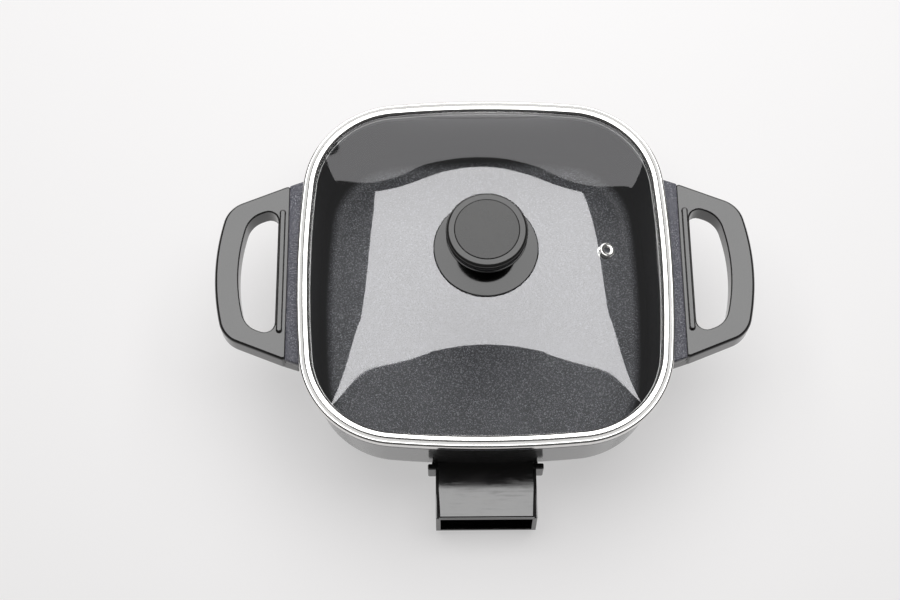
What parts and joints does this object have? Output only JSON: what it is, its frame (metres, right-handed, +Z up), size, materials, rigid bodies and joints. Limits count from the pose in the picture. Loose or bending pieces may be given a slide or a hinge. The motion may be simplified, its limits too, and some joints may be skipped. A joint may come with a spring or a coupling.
{
  "type": "electric skillet",
  "caption": "Square electric skillet: coated cast pan with loop handles, feet, a front socket shroud for a plug-in control, and a lift-off domed glass lid with steel band and knob.",
  "frame": {"origin": "on the table, under the middle of the overall width and depth; the middle of the pan is 19.45 mm behind it, along +Y", "axes": "+Z up, the control socket faces -Y, and the two loop handles lie along X"},
  "size_m": [0.4312, 0.3388, 0.184],
  "materials": {
    "coated_casting": "charcoal nonstick coating with fine light specks over cast aluminium",
    "element_sheath": "oxidised sheath",
    "plated_pin": "plated",
    "insulator_ceramic": "matte",
    "fastener_steel": "zinc plated",
    "shroud_plastic": "gloss black",
    "handle_plastic": "semi-gloss black",
    "foot_plastic": "matte black",
    "lid_glass": "clear tempered glass",
    "polished_band": "polished stainless steel",
    "knob_plastic": "semi-gloss black",
    "gasket_rubber": "soft"
  },
  "bodies": {
    "skillet": {"pan": "coated_casting", "heating_element": "element_sheath", "terminal_pin_left": "plated_pin", "terminal_pin_right": "plated_pin", "insulator_left": "insulator_ceramic", "insulator_right": "insulator_ceramic", "sensor_sleeve": "fastener_steel", "probe_shroud": "shroud_plastic", "shroud_screws": "fastener_steel", "handle_left": "handle_plastic", "handle_right": "handle_plastic", "handle_screws": "fastener_steel", "foot_front_left": "foot_plastic", "foot_front_right": "foot_plastic", "foot_back_left": "foot_plastic", "foot_back_right": "foot_plastic", "foot_screws": "fastener_steel"},
    "lid": {"lid_glass": "lid_glass", "lid_rim": "polished_band", "vent_eyelet": "polished_band", "knob": "knob_plastic", "knob_cap": "knob_plastic", "knob_skirt": "knob_plastic", "knob_gasket_upper": "gasket_rubber", "knob_gasket_lower": "gasket_rubber", "knob_screw_washer": "fastener_steel", "knob_screw": "fastener_steel"}
  },
  "joints": [
    {"name": "lid_lift", "type": "slide", "parent": "skillet", "child": "lid", "axis": [0, 0, 1], "range_m": [0, 0.12]}
  ]
}
